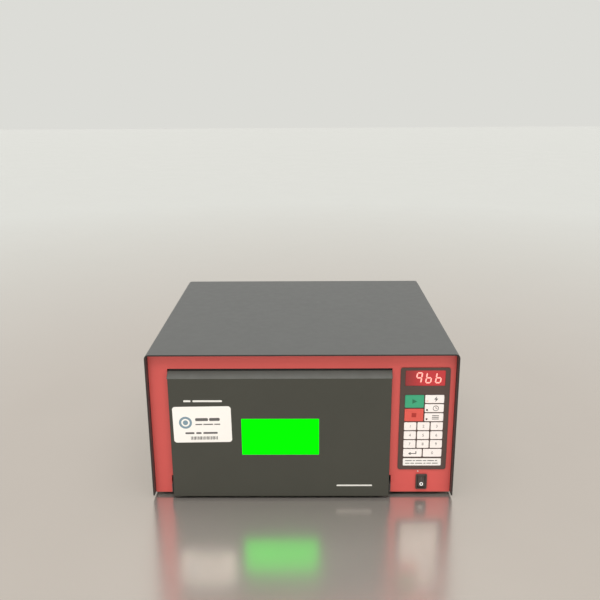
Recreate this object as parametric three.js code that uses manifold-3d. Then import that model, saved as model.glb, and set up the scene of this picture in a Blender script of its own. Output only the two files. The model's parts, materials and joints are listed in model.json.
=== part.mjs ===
// UV crosslinker: a bench cabinet with a drop-down door, a lamp chamber and a keypad panel.
// Millimetres, +Z up, +X to the operator's right, the door faces -Y.
// The origin is on the bench, under the middle of the cabinet.
import * as THREE from 'three';
import { mergeVertices } from 'three/addons/utils/BufferGeometryUtils.js';
import Module from 'manifold-3d';

const wasm = await Module();
wasm.setup();

// ---------------------------------------------------------------- driving dimensions
const SHEET = 1.5; // steel sheet of the bezel, pan and rear panel
const THIN = 1.2; // sheet of the door and the chamber
const GAP = 0.3; // clearance left between two pieces that touch
const CORNER_STEPS = 2; // half the straight steps in a rounded corner

const COVER = { half: 203, depth: 371, bottom: 4.4, top: 208, radius: 6, sheet: 2, play: 0.4 };
const INNER_HALF = COVER.half - COVER.sheet - COVER.play; // half width left inside the cover
const INNER_TOP = COVER.top - COVER.sheet - COVER.play;
const INNER_RADIUS = COVER.radius - COVER.sheet;

const BEZEL = { front: 9.5, back: 11, flangeDepth: 12, bottom: 4.7 };
const PAN = { floor: 6, front: 12, doorFront: 19.2, back: 364.7, sideHeight: 18, rearHeight: 10 };
const PANEL = { front: 365, back: 366.5, bottom: 8 };
const VENT = { count: 12, pitch: 16, height: 150, halfWidth: 2, halfHeight: 25 };

// The door and everything that lines up with it share one centre line.
const DOOR_X = -29;
const DOOR = { half: 145.5, bottom: 3.8, faceTop: 175, depth: 9, top: 183, lip: 3.7, brow: 146.4 };
const OPENING = { half: 146.8, top: 185.4, notchHalf: 149, notchTop: 30 };
const HINGE = { depth: 8, height: 12.5, pinRadius: 2, holeRadius: 2.4, earRadius: 5 };
const WINDOW = { halfWidth: 51.2, halfHeight: 26.2, height: 92, border: 5 };
const LINER = { front: DOOR.depth + GAP, bottom: 22, top: 180 };
const SEAL = { half: 145, width: 6, bottom: 27, top: 185 }; // foam strip round the chamber's mouth

const CHAMBER = { half: 131, front: 14, back: 330, floor: 26, mouthTop: 150, top: 187.3 };
const LAMP = { count: 5, pitch: 50, length: 288.3, radius: 8.2, height: 169, pin: 7 };
const LAMP_FRONT = 27.3; // depth of the lamps' front ends
const HOLDER_DEPTH = 10;

// The control panel stands to the right of the door.
const KEYPAD = { x: 161, half: 32.4, bottom: 39.4, top: 186.4, front: 8.4, back: 9.2 };
const KEY = { front: 7.9, shoulder: 9.5, back: 10.3, rim: 0.5, radius: 1.2, height: 11.2 };
const ROW_TOP = 142.5; // height of the top row's centre
const ROW_PITCH = 13.05;
const GRID_HALF = 25.6; // half width of the block of keys
const KEY_GAP = 1.6;
const DISPLAY = { half: 25.9, bottom: 161.3, top: 182.3, front: 8.55, back: 9.9 };
const SWITCH = {
  x: 161.4, z: 20.9, halfWidth: 7.6, halfHeight: 11.2, front: 7.6, bodyHalf: 6.1, bodyHeight: 9.6, wall: 0.8,
};
const ROCKER = { pivotDepth: 12, tilt: THREE.MathUtils.degToRad(12), half: 4.9, reach: 7.6 };

const INLET = {
  x: 150, z: 34, flangeFront: 366.8, flangeBack: 369.3, bodyFront: 345, bodyHalf: 14.2, bodyHeight: 15.8,
};
const BALLAST = { width: 38, length: 78, height: 30, columns: [127, 173], firstRow: 81, rowPitch: 84 };
const FOOT = { radius: 11, taper: 1.5, height: PAN.floor - GAP, x: 170, front: 40, back: 335 };

// ---------------------------------------------------------------- solids
// Manifold wants shared vertices, and no triangle that has shrunk to a line.
function toSolid(geometry) {
  const bare = geometry.clone();
  bare.deleteAttribute('normal');
  bare.deleteAttribute('uv');
  const merged = mergeVertices(bare, 1e-4);
  const corners = merged.index.array;
  const triangles = [];
  for (let i = 0; i < corners.length; i += 3) {
    const [a, b, c] = corners.slice(i, i + 3);
    if (a !== b && b !== c && c !== a) {
      triangles.push(a, b, c);
    }
  }
  return new wasm.Manifold(new wasm.Mesh({
    numProp: 3,
    vertProperties: new Float32Array(merged.attributes.position.array),
    triVerts: new Uint32Array(triangles),
  }));
}

function toGeometry(solid) {
  const mesh = solid.getMesh();
  const geometry = new THREE.BufferGeometry();
  geometry.setAttribute('position', new THREE.BufferAttribute(mesh.vertProperties, 3));
  geometry.setIndex(new THREE.BufferAttribute(mesh.triVerts, 1));
  return geometry;
}

function join(...geometries) {
  const solids = geometries.map(toSolid);
  return toGeometry(solids.reduce((sum, solid) => sum.add(solid)));
}

function cut(geometry, ...tools) {
  const solids = tools.map(toSolid);
  return toGeometry(solids.reduce((rest, tool) => rest.subtract(tool), toSolid(geometry)));
}

function box([x0, x1], [y0, y1], [z0, z1]) {
  const geometry = new THREE.BoxGeometry(x1 - x0, y1 - y0, z1 - z0);
  return geometry.translate((x0 + x1) / 2, (y0 + y1) / 2, (z0 + z1) / 2);
}

// A plate whose outline is drawn in X and Z, from depth y0 to depth y1.
function plate(shape, y0, y1) {
  const geometry = new THREE.ExtrudeGeometry(shape, {
    depth: y1 - y0, bevelEnabled: false, curveSegments: CORNER_STEPS,
  });
  return geometry.rotateX(Math.PI / 2).translate(0, y1, 0);
}

// A bar whose section is drawn in Y and Z, from x0 to x1.
function bar(shape, x0, x1) {
  const geometry = new THREE.ExtrudeGeometry(shape, {
    depth: x1 - x0, bevelEnabled: false, curveSegments: CORNER_STEPS,
  });
  const axes = new THREE.Matrix4().makeBasis(
    new THREE.Vector3(0, 1, 0), new THREE.Vector3(0, 0, 1), new THREE.Vector3(1, 0, 0));
  return geometry.applyMatrix4(axes).translate(x0, 0, 0);
}

function rodAlongX(radius, x0, x1, y, z) {
  const geometry = new THREE.CylinderGeometry(radius, radius, x1 - x0, 16);
  return geometry.rotateZ(Math.PI / 2).translate((x0 + x1) / 2, y, z);
}

function outline(points) {
  return new THREE.Shape(points.map(([x, y]) => new THREE.Vector2(x, y)));
}

function roundedRect(x0, x1, z0, z1, r) {
  const path = new THREE.Shape();
  path.moveTo(x0 + r, z0);
  path.absarc(x1 - r, z0 + r, r, -Math.PI / 2, 0);
  path.absarc(x1 - r, z1 - r, r, 0, Math.PI / 2);
  path.absarc(x0 + r, z1 - r, r, Math.PI / 2, Math.PI);
  path.absarc(x0 + r, z0 + r, r, Math.PI, Math.PI * 1.5);
  return path;
}

// A plate with rounded holes right through it, each hole as [centre x, centre z, half width, half height].
function pierced(geometry, y0, y1, holes, radius = 1) {
  const tools = holes.map(([x, z, halfWidth, halfHeight]) => plate(
    roundedRect(x - halfWidth, x + halfWidth, z - halfHeight, z + halfHeight, radius), y0 - 1, y1 + 1));
  return cut(geometry, ...tools);
}

// An upside-down U of sheet, open at the bottom, with rounded upper corners.
function archShape(half, bottom, top, radius, sheet) {
  const shape = new THREE.Shape();
  const inner = radius - sheet;
  shape.moveTo(half, bottom);
  shape.lineTo(half, top - radius);
  shape.absarc(half - radius, top - radius, radius, 0, Math.PI / 2);
  shape.absarc(radius - half, top - radius, radius, Math.PI / 2, Math.PI);
  shape.lineTo(-half, bottom);
  shape.lineTo(sheet - half, bottom);
  shape.absarc(radius - half, top - radius, inner, Math.PI, Math.PI / 2, true);
  shape.absarc(half - radius, top - radius, inner, Math.PI / 2, 0, true);
  shape.lineTo(half - sheet, bottom);
  return shape;
}

// ---------------------------------------------------------------- scene graph
const crosslinker = new THREE.Group();

// Inside this group y is the depth behind the cover's front edge.
const cabinet = new THREE.Group();
cabinet.position.y = -COVER.depth / 2;
crosslinker.add(cabinet);

// Pieces centred on the door: x counts from the door's centre line.
const doorLine = new THREE.Group();
doorLine.position.x = DOOR_X;
cabinet.add(doorLine);

function piece(name, geometry, [color, roughness, metalness], parent = cabinet) {
  const material = new THREE.MeshStandardMaterial({ color, roughness, metalness });
  const mesh = new THREE.Mesh(geometry, material);
  mesh.name = name;
  parent.add(mesh);
  return mesh;
}

const CHARCOAL_PAINT = [0x4b4943, 0.55, 0.1];
const RED_PAINT = [0xcc5650, 0.5, 0.05];
const ZINC_STEEL = [0xa7abad, 0.45, 0.9];
const BRIGHT_ALUMINIUM = [0xd6d8da, 0.25, 1];
const LAMP_GLASS = [0xdfe6f2, 0.1, 0];
const GREEN_ACRYLIC = [0x1fd61f, 0.15, 0];
const BLACK_PLASTIC = [0x1c1b1a, 0.5, 0];
const BLACK_RUBBER = [0x191919, 0.9, 0];
const OVERLAY_FILM = [0x4e443d, 0.45, 0];
const RED_FILTER = [0x8e1722, 0.2, 0];
const WHITE_KEY = [0xf2efe6, 0.5, 0];
const GREEN_KEY = [0x37af78, 0.5, 0];
const RED_KEY = [0xe45b4b, 0.5, 0];
const BOARD_GREEN = [0x1f5a38, 0.6, 0];
const IRON_CORE = [0x5c5f62, 0.6, 0.6];
const WHITE_PLASTIC = [0xe8e6e0, 0.5, 0];

// ---------------------------------------------------------------- cabinet shell
function outerCover() {
  const { half, bottom, top, radius, depth, sheet } = COVER;
  return plate(archShape(half, bottom, top, radius, sheet), 0, depth);
}

// The bezel is an arch around the door, with a notch beside each hinge.
function frontBezel() {
  const radius = INNER_RADIUS;
  const left = DOOR_X - OPENING.half;
  const right = DOOR_X + OPENING.half;
  const notchLeft = DOOR_X - OPENING.notchHalf;
  const notchRight = DOOR_X + OPENING.notchHalf;
  const face = new THREE.Shape();
  face.moveTo(INNER_HALF, BEZEL.bottom);
  face.lineTo(INNER_HALF, INNER_TOP - radius);
  face.absarc(INNER_HALF - radius, INNER_TOP - radius, radius, 0, Math.PI / 2);
  face.absarc(radius - INNER_HALF, INNER_TOP - radius, radius, Math.PI / 2, Math.PI);
  face.lineTo(-INNER_HALF, BEZEL.bottom);
  face.lineTo(notchLeft, BEZEL.bottom);
  face.lineTo(notchLeft, OPENING.notchTop);
  face.lineTo(left, OPENING.notchTop);
  face.lineTo(left, OPENING.top);
  face.lineTo(right, OPENING.top);
  face.lineTo(right, OPENING.notchTop);
  face.lineTo(notchRight, OPENING.notchTop);
  face.lineTo(notchRight, BEZEL.bottom);

  const keysMargin = 1.9;
  const lastRow = ROW_TOP - 6 * ROW_PITCH;
  const keysHalf = (ROW_TOP - lastRow + KEY.height) / 2 + keysMargin;
  const { half, bottom, top } = DISPLAY;
  const filterMargin = 0.7;
  const filterHalf = (top - bottom) / 2 + filterMargin;
  const holes = [
    [KEYPAD.x, (ROW_TOP + lastRow) / 2, GRID_HALF + keysMargin, keysHalf],
    [KEYPAD.x, (bottom + top) / 2, half + filterMargin, filterHalf],
    [SWITCH.x, SWITCH.z, SWITCH.bodyHalf + GAP, SWITCH.bodyHeight + GAP],
  ];
  const flangeBottom = PAN.floor + SHEET + GAP;
  const flange = archShape(INNER_HALF, flangeBottom, INNER_TOP, radius, SHEET);
  return join(
    pierced(plate(face, BEZEL.front, BEZEL.back), BEZEL.front, BEZEL.back, holes),
    plate(flange, BEZEL.front, BEZEL.front + BEZEL.flangeDepth));
}

// A tray whose front edge steps back behind the door's hinge.
function basePan() {
  const side = INNER_HALF;
  const stepHalf = OPENING.notchHalf + 2 * GAP;
  const stepLeft = DOOR_X - stepHalf;
  const stepRight = DOOR_X + stepHalf;
  const { floor } = PAN;
  const lipHalf = DOOR.half + 0.8;
  const sideFront = BEZEL.front + BEZEL.flangeDepth + 1;
  return join(
    box([-side, side], [PAN.doorFront, PAN.back], [floor, floor + SHEET]),
    box([-side, stepLeft], [PAN.front, PAN.back], [floor, floor + SHEET]),
    box([stepRight, side], [PAN.front, PAN.back], [floor, floor + SHEET]),
    box([-side, SHEET - side], [sideFront, PAN.back], [floor, floor + PAN.sideHeight]),
    box([side - SHEET, side], [sideFront, PAN.back], [floor, floor + PAN.sideHeight]),
    box([DOOR_X - lipHalf, DOOR_X + lipHalf], [PAN.doorFront, PAN.doorFront + SHEET],
      [floor, floor + PAN.sideHeight]),
    box([-side, side], [PAN.back - SHEET, PAN.back], [floor, floor + PAN.rearHeight]));
}

// The rear panel carries the mains inlet and a row of vents behind the lamps.
function rearPanel() {
  const face = archFace(INNER_HALF, PANEL.bottom, INNER_TOP, INNER_RADIUS);
  const holes = [[INLET.x, INLET.z, INLET.bodyHalf + GAP, INLET.bodyHeight + GAP]];
  for (let i = 0; i < VENT.count; i += 1) {
    const x = DOOR_X + (i - (VENT.count - 1) / 2) * VENT.pitch;
    holes.push([x, VENT.height, VENT.halfWidth, VENT.halfHeight]);
  }
  return pierced(plate(face, PANEL.front, PANEL.back), PANEL.front, PANEL.back, holes);
}

function archFace(half, bottom, top, radius) {
  const face = new THREE.Shape();
  face.moveTo(half, bottom);
  face.lineTo(half, top - radius);
  face.absarc(half - radius, top - radius, radius, 0, Math.PI / 2);
  face.absarc(radius - half, top - radius, radius, Math.PI / 2, Math.PI);
  face.lineTo(-half, bottom);
  return face;
}

function foot() {
  const { radius, taper, height } = FOOT;
  const profile = outline([[0, 0], [radius - taper, 0], [radius, height], [0, height]]);
  return new THREE.LatheGeometry(profile.getPoints(), 20).rotateX(Math.PI / 2);
}

function addShell() {
  piece('outer_cover', outerCover(), CHARCOAL_PAINT);
  piece('front_bezel', frontBezel(), RED_PAINT);
  piece('base_pan', basePan(), ZINC_STEEL);
  piece('rear_panel', rearPanel(), CHARCOAL_PAINT);
  for (const [row, y] of [['front', FOOT.front], ['rear', FOOT.back]]) {
    for (const [side, x] of [['left', -FOOT.x], ['right', FOOT.x]]) {
      piece(`foot_${row}_${side}`, foot(), BLACK_RUBBER).position.set(x, y, 0);
    }
  }
}

// ---------------------------------------------------------------- chamber and lamps
// A box open to the front and the top, with a flange that the door closes on.
function chamberLiner() {
  const { half, front, back, floor, mouthTop, top } = CHAMBER;
  const outer = half + THIN;
  const skirtFront = PAN.doorFront + SHEET + 1;
  const skirtBottom = PAN.floor + SHEET + GAP;
  const flangeHalf = DOOR.half;
  const flange = box([-flangeHalf, flangeHalf], [front, front + THIN], [floor - THIN, top]);
  const mouth = box([-half, half], [front - 1, front + THIN + 1], [floor, mouthTop]);
  return join(
    cut(flange, mouth),
    box([-outer, outer], [front, back], [floor - THIN, floor]),
    box([-outer, -half], [front, back], [floor - THIN, top]),
    box([half, outer], [front, back], [floor - THIN, top]),
    box([-outer, -half], [skirtFront, back], [skirtBottom, floor]),
    box([half, outer], [skirtFront, back], [skirtBottom, floor]),
    box([-outer, outer], [back - THIN, back], [skirtBottom, top]));
}

// Bright folded sheet over the lamps, with a ridge between each pair of lamps.
function lampReflector() {
  const rimHalf = CHAMBER.half + THIN + 1;
  const base = CHAMBER.top + 0.4;
  const ridgeHalf = 14;
  const ridgeDrop = 9;
  const under = [[-rimHalf, base]];
  for (let i = 0; i < LAMP.count - 1; i += 1) {
    const x = (i - (LAMP.count - 2) / 2) * LAMP.pitch;
    under.push([x - ridgeHalf, base], [x, base - ridgeDrop], [x + ridgeHalf, base]);
  }
  under.push([rimHalf, base]);
  const upper = under.map(([x, z]) => [x, z + THIN]).reverse();
  return plate(outline([...under, ...upper]), CHAMBER.front + THIN + GAP, CHAMBER.back - THIN - GAP);
}

// A tube with a metal cap and two pins at each end, along Y.
function uvLamp() {
  const { length, radius, pin } = LAMP;
  const cap = 12;
  const neck = 0.5;
  const profile = outline([
    [0, 0], [radius, 0], [radius, cap], [radius - neck, cap + neck],
    [radius - neck, length - cap - neck], [radius, length - cap], [radius, length], [0, length],
  ]);
  const pieces = [new THREE.LatheGeometry(profile.getPoints(), 16)];
  for (const z of [-2.4, 2.4]) {
    pieces.push(box([-1.1, 1.1], [-pin, length + pin], [z - 1.1, z + 1.1]));
  }
  return join(...pieces);
}

// A rail of five lampholders; each has an upright slot for the lamp's pins.
function lampholderRail() {
  const reach = ((LAMP.count - 1) / 2) * LAMP.pitch + 10;
  let rail = box([-reach, reach], [0, HOLDER_DEPTH], [-7, 7]);
  const slots = [];
  for (let i = 0; i < LAMP.count; i += 1) {
    const x = (i - (LAMP.count - 1) / 2) * LAMP.pitch;
    const top = CHAMBER.top - LAMP.height;
    rail = join(rail, box([x - 10, x + 10], [0, HOLDER_DEPTH], [-9.5, top]));
    slots.push(box([x - 1.8, x + 1.8], [-1, HOLDER_DEPTH + 1], [-4.6, 4.6]));
  }
  return cut(rail, ...slots);
}

function addChamber() {
  piece('chamber_liner', chamberLiner(), BRIGHT_ALUMINIUM, doorLine);
  piece('lamp_reflector', lampReflector(), BRIGHT_ALUMINIUM, doorLine);
  for (let i = 0; i < LAMP.count; i += 1) {
    const x = (i - (LAMP.count - 1) / 2) * LAMP.pitch;
    piece(`uv_lamp_${i + 1}`, uvLamp(), LAMP_GLASS, doorLine).position.set(x, LAMP_FRONT, LAMP.height);
  }
  const frontRail = piece('lampholder_rail_front', lampholderRail(), WHITE_PLASTIC, doorLine);
  frontRail.position.set(0, LAMP_FRONT - GAP - HOLDER_DEPTH, LAMP.height);
  const rearRail = piece('lampholder_rail_rear', lampholderRail(), WHITE_PLASTIC, doorLine);
  rearRail.position.set(0, LAMP_FRONT + LAMP.length + GAP, LAMP.height);

  const sensor = new THREE.CylinderGeometry(9, 9, 8, 20);
  const sensorDepth = CHAMBER.back - THIN - GAP - 4;
  piece('uv_sensor', sensor, BLACK_PLASTIC, doorLine).position.set(70, sensorDepth, 60);

  for (const [side, x] of [['left', -105], ['right', 105]]) {
    const magnet = box([-15, 15], [LINER.front + THIN + GAP, CHAMBER.front - GAP], [-5, 5]);
    piece(`magnet_catch_${side}`, magnet, BLACK_PLASTIC, doorLine).position.set(x, 0, 165);
  }
  const reedFront = CHAMBER.front + THIN + GAP;
  const reed = box([-5, 5], [reedFront, reedFront + 6], [-14, 14]);
  piece('interlock_switch', reed, BLACK_PLASTIC, doorLine).position.set(139, 0, 144);
  piece('door_seal', doorSeal(), BLACK_RUBBER, doorLine);
}

// Foam strip on the chamber's flange: over the mouth and down both of its sides.
function doorSeal() {
  const { half, width, bottom, top } = SEAL;
  const shape = outline([
    [-half, bottom], [-half, top], [half, top], [half, bottom], [half - width, bottom],
    [half - width, top - width], [width - half, top - width], [width - half, bottom],
  ]);
  return plate(shape, LINER.front + THIN + GAP, CHAMBER.front - GAP);
}

// ---------------------------------------------------------------- door
// A folded pan: skin, bottom lip, two side walls that carry the hinge, and a sloped brow along the top
// that runs a little past the walls.
function doorShell() {
  const { half, bottom, faceTop, depth, top, lip, brow } = DOOR;
  const slope = (top - faceTop) / depth;
  const drop = THIN * Math.hypot(1, slope);
  const slopeUnder = (y) => faceTop + y * slope - drop;
  const skin = outline([
    [depth - 3, bottom], [0, bottom], [0, faceTop], [THIN, slopeUnder(THIN)],
    [THIN, bottom + THIN], [depth - 3, bottom + THIN],
  ]);
  const browSection = outline([
    [0, faceTop], [depth, top], [depth, top - lip], [depth - THIN, top - lip],
    [depth - THIN, slopeUnder(depth - THIN)], [THIN, slopeUnder(THIN)],
  ]);
  const wall = outline([[0, bottom], [0, faceTop], [depth, top], [depth, bottom]]);
  const { depth: pinDepth, height: pinHeight, earRadius, holeRadius } = HINGE;
  const panes = box([-WINDOW.halfWidth, WINDOW.halfWidth], [-1, THIN + 1],
    [WINDOW.height - WINDOW.halfHeight, WINDOW.height + WINDOW.halfHeight]);
  const whole = join(
    bar(skin, -half, half),
    bar(browSection, -brow, brow),
    bar(wall, -half, THIN - half),
    bar(wall, half - THIN, half),
    rodAlongX(earRadius, -half, THIN - half, pinDepth, pinHeight),
    rodAlongX(earRadius, half - THIN, half, pinDepth, pinHeight));
  return cut(whole, panes, rodAlongX(holeRadius, -half - 1, half + 1, pinDepth, pinHeight));
}

function doorLiner() {
  const sheet = box([-DOOR.half, DOOR.half], [LINER.front, LINER.front + THIN], [LINER.bottom, LINER.top]);
  const hole = box([-WINDOW.halfWidth - 1, WINDOW.halfWidth + 1], [LINER.front - 1, LINER.front + THIN + 1],
    [WINDOW.height - WINDOW.halfHeight - 1, WINDOW.height + WINDOW.halfHeight + 1]);
  return cut(sheet, hole);
}

// One side's bracket, drawn for the right: an upright, a foot on the pan and the hinge pin.
function hingeBracket() {
  const inner = DOOR.half + 1.2;
  const outer = inner + SHEET;
  const bottom = PAN.floor + SHEET + GAP;
  return join(
    box([inner, outer], [3, 40], [bottom, 20]),
    box([inner, inner + 15], [23, 40], [bottom, bottom + SHEET]),
    rodAlongX(HINGE.pinRadius, DOOR.half - 3, inner + SHEET / 2, HINGE.depth, HINGE.height));
}

function mirrored(geometry) {
  const copy = geometry.clone().scale(-1, 1, 1);
  const index = copy.index.array;
  for (let i = 0; i < index.length; i += 3) {
    [index[i], index[i + 1]] = [index[i + 1], index[i]];
  }
  return copy;
}

function addDoor() {
  const door = new THREE.Group();
  doorLine.add(door);
  piece('door_shell', doorShell(), CHARCOAL_PAINT, door);
  piece('door_liner', doorLiner(), ZINC_STEEL, door);

  const halfWidth = WINDOW.halfWidth + WINDOW.border;
  const halfHeight = WINDOW.halfHeight + WINDOW.border;
  const pane = plate(roundedRect(-halfWidth, halfWidth, -halfHeight, halfHeight, 1.5), 1.5, 4.5);
  piece('door_window', pane, GREEN_ACRYLIC, door).position.z = WINDOW.height;
  const block = plate(roundedRect(-halfWidth, halfWidth, -halfHeight, halfHeight, 1.5), 4.8, DOOR.depth);
  const view = [0, 0, WINDOW.halfWidth + 0.5, WINDOW.halfHeight + 0.5];
  piece('window_frame', pierced(block, 4.8, DOOR.depth, [view]), BLACK_PLASTIC, door)
    .position.z = WINDOW.height;

  const magnet = box([-4, 4], [4, DOOR.depth], [-12, 12]);
  piece('interlock_magnet', magnet, IRON_CORE, door).position.set(138, 0, 144);

  piece('hinge_bracket_right', hingeBracket(), CHARCOAL_PAINT, doorLine);
  piece('hinge_bracket_left', mirrored(hingeBracket()), CHARCOAL_PAINT, doorLine);
}

// ---------------------------------------------------------------- control panel
// Every key as [name, centre x, centre z, half width, half height, finish].
function keyPlan() {
  const half = KEY.height / 2;
  const wide = (GRID_HALF - KEY_GAP / 2) / 2;
  const left = KEYPAD.x - GRID_HALF + wide;
  const right = KEYPAD.x + GRID_HALF - wide;
  const row = (n) => ROW_TOP - n * ROW_PITCH;
  const tall = (2 * ROW_PITCH + KEY.height - 1.9) / 4;
  const plan = [
    ['start', left, row(0) + half - tall, wide, tall, GREEN_KEY],
    ['stop', left, row(2) - half + tall, wide, tall, RED_KEY],
    ['energy', right, row(0), wide, half, WHITE_KEY],
    ['time', right, row(1), wide, half, WHITE_KEY],
    ['preset', right, row(2), wide, half, WHITE_KEY],
    ['enter', left, row(6), wide, half, WHITE_KEY],
    ['0', right, row(6), wide, half, WHITE_KEY],
  ];
  const narrow = (GRID_HALF - KEY_GAP) / 3;
  const columnPitch = 2 * narrow + KEY_GAP;
  for (let digit = 1; digit <= 9; digit += 1) {
    const column = (digit - 1) % 3;
    const line = 3 + Math.floor((digit - 1) / 3);
    plan.push([`${digit}`, KEYPAD.x + (column - 1) * columnPitch, row(line), narrow, half, WHITE_KEY]);
  }
  return plan;
}

// A flat cap that stands through the overlay, with a rim that holds it behind.
function keyCap(halfWidth, halfHeight) {
  const cap = roundedRect(-halfWidth, halfWidth, -halfHeight, halfHeight, KEY.radius);
  const rimWidth = halfWidth + KEY.rim;
  const rimHeight = halfHeight + KEY.rim;
  const rim = roundedRect(-rimWidth, rimWidth, -rimHeight, rimHeight, KEY.radius);
  return join(plate(cap, KEY.front, KEY.back), plate(rim, KEY.shoulder, KEY.back));
}

function keypadOverlay(plan) {
  const { x, half, bottom, top, front, back } = KEYPAD;
  const sheet = plate(roundedRect(x - half, x + half, bottom, top, 3), front, back);
  const holes = plan.map(([, keyX, keyZ, halfWidth, halfHeight]) => (
    [keyX, keyZ, halfWidth + GAP, halfHeight + GAP]));
  const displayHalf = (DISPLAY.top - DISPLAY.bottom) / 2;
  holes.push([x, DISPLAY.bottom + displayHalf, DISPLAY.half + GAP, displayHalf + GAP]);
  return pierced(sheet, front, back, holes, KEY.radius);
}

// The board behind the panel, with two relays, a terminal row, a chip and a connector on its back.
function controlBoard() {
  const front = 18.7;
  const back = front + 1.6;
  const soldered = (x0, x1, z0, z1, height) => box([x0, x1], [back - GAP, back + height], [z0, z1]);
  return join(
    box([126, 196], [front, back], [44, 196]),
    soldered(132, 150, 60, 88, 15),
    soldered(156, 174, 60, 88, 15),
    soldered(130, 190, 100, 108, 9),
    soldered(140, 165, 122, 147, 3),
    soldered(134, 186, 184, 192, 8));
}

function addControls() {
  const plan = keyPlan();
  piece('keypad_overlay', keypadOverlay(plan), OVERLAY_FILM);
  for (const [name, x, z, halfWidth, halfHeight, finish] of plan) {
    piece(`key_${name}`, keyCap(halfWidth, halfHeight), finish).position.set(x, 0, z);
  }
  const dome = box([131, 191], [BEZEL.back + GAP, BEZEL.back + 1.3], [54, 153]);
  piece('keypad_circuit', dome, WHITE_PLASTIC);

  const { half, bottom, top, front, back } = DISPLAY;
  const filter = plate(roundedRect(-half, half, bottom, top, KEY.radius), front, back);
  piece('display_window', filter, RED_FILTER).position.x = KEYPAD.x;
  const digits = box([-25.15, 25.15], [10.4, 18.4], [bottom + 1, top - 1]);
  piece('display_module', digits, BLACK_PLASTIC).position.x = KEYPAD.x;
  piece('control_board', controlBoard(), BOARD_GREEN);
}

// ---------------------------------------------------------------- power parts
function switchBody() {
  const { halfWidth, halfHeight, front, bodyHalf, bodyHeight, wall } = SWITCH;
  const bodyBack = 26;
  const flange = plate(
    roundedRect(-halfWidth, halfWidth, -halfHeight, halfHeight, 1.5), front, BEZEL.front - GAP);
  const body = box([-bodyHalf, bodyHalf], [BEZEL.front - 2 * GAP, bodyBack], [-bodyHeight, bodyHeight]);
  const wellHalf = bodyHalf - wall;
  const wellHeight = bodyHeight - wall;
  const well = box([-wellHalf, wellHalf], [front - 1, 18], [-wellHeight, wellHeight]);
  const terminals = [-6, 0, 6].map((z) => (
    box([-2.4, 2.4], [bodyBack - 0.5, bodyBack + 7], [z - 0.4, z + 0.4])));
  return join(cut(join(flange, body), well), ...terminals);
}

// The rocker's section, y forward of the pivot counted negative; both ends stand proud.
function rocker() {
  const { reach, half } = ROCKER;
  const section = outline([
    [-5, -reach], [-3.6, 0], [-5, reach], [-0.6, reach], [2, 4.5], [2, -4.5], [-0.6, -reach],
  ]);
  return bar(section, -half, half);
}

// Appliance inlet with a recessed socket, three blades and a slot for the fuse drawer.
function mainsInlet() {
  const { flangeFront, flangeBack, bodyFront, bodyHalf, bodyHeight } = INLET;
  const socketDepth = 16;
  const socket = outline([
    [-12.2, -4.3], [12.2, -4.3], [12.2, 7.3], [7.2, 12.3], [-7.2, 12.3], [-12.2, 7.3],
  ]);
  const shell = join(
    plate(roundedRect(-24, 24, -17, 17, 3), flangeFront, flangeBack),
    box([-bodyHalf, bodyHalf], [bodyFront, flangeBack - 1], [-bodyHeight, bodyHeight]));
  const hollow = cut(shell,
    plate(socket, flangeBack - socketDepth, flangeBack + 1),
    box([-11.3, 11.3], [bodyFront + 2, flangeBack + 1], [-13.7, -6.6]));
  const bladeStart = flangeBack - socketDepth - 1;
  const blades = [[-7, 2], [7, 2], [0, 6]].map(([x, z]) => (
    box([x - 1, x + 1], [bladeStart, bladeStart + 12], [z - 2, z + 2])));
  return join(hollow, ...blades);
}

function fuseDrawer() {
  const { bodyFront, flangeBack } = INLET;
  const front = bodyFront + 2 + GAP;
  return join(
    box([-11, 11], [flangeBack - 4, flangeBack + 0.4], [-13.4, -6.9]),
    box([-10, 10], [front, flangeBack - 3], [-12.6, -11.2]),
    box([-10, -8.6], [front, flangeBack - 3], [-12.6, -7.6]),
    box([8.6, 10], [front, flangeBack - 3], [-12.6, -7.6]),
    box([-3, 3], [flangeBack, flangeBack + 1.2], [-8.4, -7.2]));
}

function ballast() {
  const { width, length, height } = BALLAST;
  return join(
    box([-width / 2, width / 2], [-length / 2, length / 2], [0, 2]),
    box([-width / 2 + 2, width / 2 - 2], [-length / 2 + 12, length / 2 - 12], [1, height]),
    box([-width / 2 + 8, width / 2 - 8], [-length / 2 + 5, length / 2 - 5], [1, height - 8]));
}

function transformer() {
  return join(
    box([-18, 18], [-28, 28], [0, 2]),
    box([-16, 16], [-22, 22], [1, 38]),
    box([-12, 12], [-30, 30], [9, 31]));
}

function addPower() {
  piece('power_switch_body', switchBody(), BLACK_PLASTIC).position.set(SWITCH.x, 0, SWITCH.z);
  const rockerMesh = piece('power_rocker', rocker(), BLACK_PLASTIC);
  rockerMesh.position.set(SWITCH.x, ROCKER.pivotDepth, SWITCH.z);
  rockerMesh.rotation.x = -ROCKER.tilt;

  piece('mains_inlet', mainsInlet(), BLACK_PLASTIC).position.set(INLET.x, 0, INLET.z);
  piece('fuse_drawer', fuseDrawer(), BLACK_PLASTIC).position.set(INLET.x, 0, INLET.z);

  const seat = PAN.floor + SHEET + GAP;
  const places = [[0, 0], [0, 1], [0, 2], [1, 1], [1, 2]];
  places.forEach(([column, row], i) => {
    const y = BALLAST.firstRow + row * BALLAST.rowPitch;
    piece(`ballast_${i + 1}`, ballast(), IRON_CORE).position.set(BALLAST.columns[column], y, seat);
  });
  piece('power_transformer', transformer(), IRON_CORE)
    .position.set(BALLAST.columns[1], BALLAST.firstRow, seat);
}

addShell();
addChamber();
addDoor();
addControls();
addPower();

export default crosslinker;
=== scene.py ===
"""UV crosslinker: its looks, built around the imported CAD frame.

Metres, +Z up, +X to the operator's right; the door faces -Y. Lengths named in the helpers as
millimetres are multiplied by MM.
"""
import json
import math

import bmesh
import bpy
from mathutils import Matrix, Vector

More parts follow.
